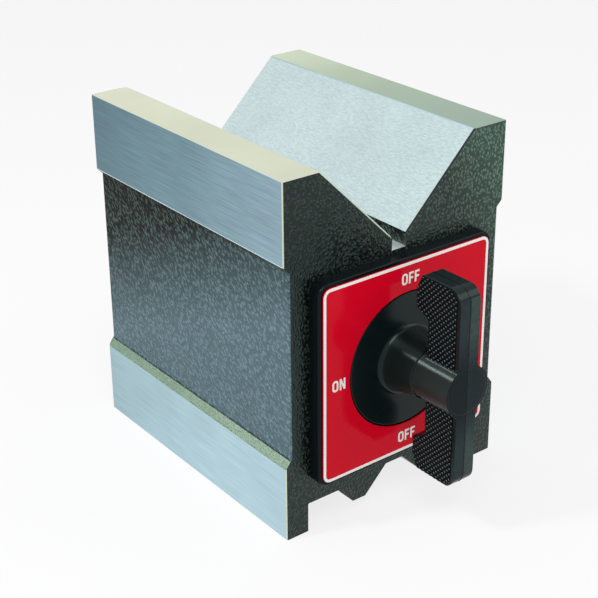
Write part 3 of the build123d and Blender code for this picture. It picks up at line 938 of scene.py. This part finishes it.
def rim(edge):
    """An edge where the bar's long sides, or the boss, turn into its outline."""
    if len(edge.link_faces) != 2:
        return False
    short_of_ends = abs(middle(edge).z - AXIS) < BAR_REACH - 0.7
    side_faces = [abs(face.normal.y) < 0.02 and abs(face.normal.x) > 0.15 and short_of_ends
                  or abs(face.normal.x) > 0.98 for face in edge.link_faces]
    return side_faces[0] != side_faces[1]


bar = front_slab("bar", bar_plan(), WING_BACK - 0.5, BAR_FRONT)
wide_of_boss = BOSS_BULGE + 2.3
boolean(bar, side_slab("side_cut", bar_side(0), -wide_of_boss, wide_of_boss), "INTERSECT")
bevel_edges(bar, rim, BAR_RIM, 4)
boolean(knob, bar, "UNION")
smooth(knob, 32)


def on_hub(normal, place):
    """Whether a face belongs to the round hub and boss behind the bar."""
    radial = Vector((place.x, place.z - AXIS))
    return (4.0 < FACE - place.y < 24 and 5.5 < radial.length < 9
            and radial.normalized().dot((normal.x, normal.z)) > 0.9)


paint_faces(knob, [(lambda n, c: on_hub(n, c) and FACE - c.y > HUB_FRONT, KNOB_BOSS), (on_hub, KNOB_HUB),
                   (lambda n, c: n.y < -0.9 and FACE - c.y > BAR_FRONT - 0.3, KNOB_FRONT)], KNOB_BLACK)
finished(knob, "switch", "knob_plastic", KNOB_BLACK, "knob")

line_on_boss = mirrored_down([(BOSS_FRONT - 0.43, 6.1), (BOSS_FRONT + 0.06, 5.6)])
mould_line = join(side_slab("knob_mould_line", bar_side(LINE_PROUD), -LINE_HALF, LINE_HALF),
                  side_slab("line_on_boss", line_on_boss, -LINE_HALF, LINE_HALF))
smooth(mould_line, 30)
finished(mould_line, "switch", "knob_plastic", KNOB_BLACK)


# Grip pads: cells in a row, their pitch, how far each pyramid slopes in, and how far it stands up
GRIP_CELLS, GRIP_PITCH, GRIP_SLOPE, GRIP_HEIGHT = 50, 1.06, 0.35, 0.22
GRIP_FOOT, GRIP_ROOT = BAR_HALF + 0.02, 0.5
GRIP_MIDDLE = 17

# The pads end a little inside the bar's outline
PAD_FRONT, PAD_BACK, PAD_WING_BACK, PAD_END_BACK = BAR_FRONT - 1.1, BAR_BACK + 0.35, WING_BACK + 0.4, 12.3
PAD_REACH, PAD_TAPER, PAD_STEP_END, PAD_STEP_START = 26.3, 22.8, 18.0, 16.0


def grip_pad(name, side):
    """Fine pyramids on one side of the bar, in diagonal rows, short of its front edge."""
    turn = Matrix.Rotation(math.radians(45), 3, "X") @ Matrix.Rotation(side * math.radians(90), 3, "Y")
    deselect_all()
    bpy.ops.mesh.primitive_grid_add(
        x_subdivisions=GRIP_CELLS, y_subdivisions=GRIP_CELLS, size=GRIP_CELLS * GRIP_PITCH * MM,
        location=at(side * GRIP_FOOT, GRIP_MIDDLE, AXIS), rotation=turn.to_euler())
    pad = named(name)
    bpy.ops.object.transform_apply(location=True, rotation=True, scale=True)
    edit(pad)
    bpy.ops.mesh.select_all(action="SELECT")
    bpy.ops.mesh.inset(thickness=GRIP_SLOPE * MM, depth=GRIP_HEIGHT * MM, use_individual=True)
    bpy.ops.mesh.select_mode(type="EDGE")
    bpy.ops.mesh.select_all(action="DESELECT")
    bpy.ops.mesh.select_non_manifold()
    bpy.ops.mesh.extrude_edges_move(TRANSFORM_OT_translate={"value": (-side * GRIP_ROOT * MM, 0, 0)})
    bpy.ops.mesh.edge_face_add()
    outward(pad)
    upper = [(PAD_FRONT, PAD_REACH), (PAD_END_BACK, PAD_REACH), (PAD_WING_BACK, PAD_TAPER),
             (PAD_WING_BACK, PAD_STEP_END), (PAD_BACK, PAD_STEP_START)]
    area = softened(mirrored_down(upper), [3.2, *[0.3] * 8, 3.2], 8)
    boolean(pad, side_slab("area", area, side * (BAR_HALF - 0.2), side * (BAR_HALF + 0.8)), "INTERSECT")
    tips = side * (GRIP_FOOT + GRIP_HEIGHT)
    # The flat tops of the pyramids get the painted highlight.
    paint_faces(pad, [(lambda n, c: abs(n.x) > SQUARE and abs(c.x - tips) < 0.02, GRIP_TIP_HIGHLIGHT)], GRIP_BLACK)
    finished(pad, "switch", "knob_plastic", KNOB_BLACK)


grip_pad("knob_grip_left", -1)
grip_pad("knob_grip_right", 1)


# Finishes of the CAD nodes that stay as they are

CARRIED_OVER = [
    (TURNED, ["front_bearing_plate", "drive_flange", "rear_flange", "rotor_segment_upper",
              "rotor_segment_lower", "stop_pin"]),
    (BLACKENED, ["front_plate_screws", "front_cover_screws", "rear_plate_screws", "rotor_screws",
                 "knob_set_screw"]),
    (BRASS, ["spacer_dowels", "front_bush", "rear_bush", "front_thrust_washer", "rear_thrust_washer",
             "knob_insert"]),
    (MAGNET, ["rotor_magnets"]),
    (RUBBER, ["shaft_seal"]),
    (FRONT_PAINT, ["rear_end_plate"])]

for material, nodes in CARRIED_OVER:
    for node in nodes:
        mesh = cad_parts[node].data
        mesh.materials.clear()
        mesh.materials.append(material)


# Floor, light and camera, with places and sizes in metres

FLOOR_SIZE = 4
FLOOR_GREY, FLOOR_ROUGHNESS = 0.6, 0.8
FLOOR_WHITENED = 0.8
SKY_LIGHT = 0.6


def seen_rays(tree):
    """1 for the rays of the camera and of the reflections and glass that show the background."""
    rays = add(tree, "ShaderNodeLightPath")
    seen = math_node(tree, "ADD", rays.outputs["Is Camera Ray"], rays.outputs["Is Glossy Ray"], clamp=True)
    return math_node(tree, "ADD", seen, rays.outputs["Is Transmission Ray"], clamp=True)


def mixed(tree, share, first, second, end):
    """Ends a node tree with the first shader, and this share of the second."""
    node = add(tree, "ShaderNodeMixShader")
    tree.links.new(share, node.inputs["Fac"])
    tree.links.new(first.outputs[0], node.inputs[1])
    tree.links.new(second.outputs[0], node.inputs[2])
    tree.links.new(node.outputs[0], end.inputs["Surface"])


def pale_floor():
    """Grey where it lights the object, and close to white where it is seen."""
    material = bpy.data.materials.new("pale floor")
    material.use_nodes = True
    tree = material.node_tree
    shader = tree.nodes["Principled BSDF"]
    shader.inputs["Base Color"].default_value = (FLOOR_GREY, FLOOR_GREY, FLOOR_GREY, 1)
    shader.inputs["Roughness"].default_value = FLOOR_ROUGHNESS
    paper = add(tree, "ShaderNodeEmission")
    paper.inputs["Color"].default_value = WHITE
    paper.inputs["Strength"].default_value = 1.0
    share = math_node(tree, "MULTIPLY", seen_rays(tree), FLOOR_WHITENED)
    mixed(tree, share, shader, paper, tree.nodes["Material Output"])
    return material


def studio_world():
    """A soft white light from all sides, which is plain white where it is seen."""
    world = bpy.data.worlds.new("studio")
    world.use_nodes = True
    tree = world.node_tree
    light = tree.nodes["Background"]
    seen = add(tree, "ShaderNodeBackground")
    for node, strength in ((light, SKY_LIGHT), (seen, 1.0)):
        node.inputs["Color"].default_value = WHITE
        node.inputs["Strength"].default_value = strength
    mixed(tree, seen_rays(tree), light, seen, tree.nodes["World Output"])
    return world


def lamp(name, place, target, size, energy):
    data = bpy.data.lights.new(name, "AREA")
    data.shape = "DISK"
    data.size = size
    data.energy = energy
    obj = bpy.data.objects.new(name, data)
    bpy.context.scene.collection.objects.link(obj)
    obj.location = place
    obj.rotation_euler = (Vector(target) - Vector(place)).to_track_quat("-Z", "Y").to_euler()


deselect_all()
bpy.ops.mesh.primitive_plane_add(size=FLOOR_SIZE)
floor = named("floor")
floor.data.materials.append(pale_floor())
bpy.context.scene.world = studio_world()

block_middle, knob_front = (0, 0.012, 0.045), (0, -0.046, 0.045)
lamp("key", (-0.35, -0.45, 0.85), block_middle, 0.5, 4.5)
lamp("side", (0.6, -0.5, 0.5), block_middle, 0.5, 1.5)
lamp("strip", (-0.42, 0.096, 0.524), knob_front, 0.1, 2.6)

# The camera as fitted to the photograph: picture size, focal length and shift in pixels
PHOTO_SIZE, FOCAL_LENGTH, SHIFT_UP = 598, 1378.3, -42
SENSOR = 36
CAMERA_PLACE = Vector((-204.99, -256.9, 203.71)) * MM
AZIMUTH, ELEVATION, ROLL = math.radians(-37.471), math.radians(24.016), math.radians(-0.490)

camera_data = bpy.data.cameras.new("camera")
camera = bpy.data.objects.new("camera", camera_data)
bpy.context.scene.collection.objects.link(camera)
bpy.context.scene.camera = camera
camera_data.sensor_width = SENSOR
camera_data.lens = FOCAL_LENGTH / PHOTO_SIZE * SENSOR
camera_data.shift_y = SHIFT_UP / PHOTO_SIZE
camera_data.clip_start = 0.01
back = Vector((math.sin(AZIMUTH) * math.cos(ELEVATION), -math.cos(AZIMUTH) * math.cos(ELEVATION),
               math.sin(ELEVATION)))
right = (-back).cross(Vector((0, 0, 1))).normalized()
up = right.cross(-back)
rolled_right = math.cos(ROLL) * right + math.sin(ROLL) * up
rolled_up = -math.sin(ROLL) * right + math.cos(ROLL) * up
facing = Matrix((rolled_right, rolled_up, back)).transposed().to_4x4()
camera.matrix_world = Matrix.Translation(CAMERA_PLACE) @ facing

bpy.context.scene.view_settings.view_transform = "Standard"
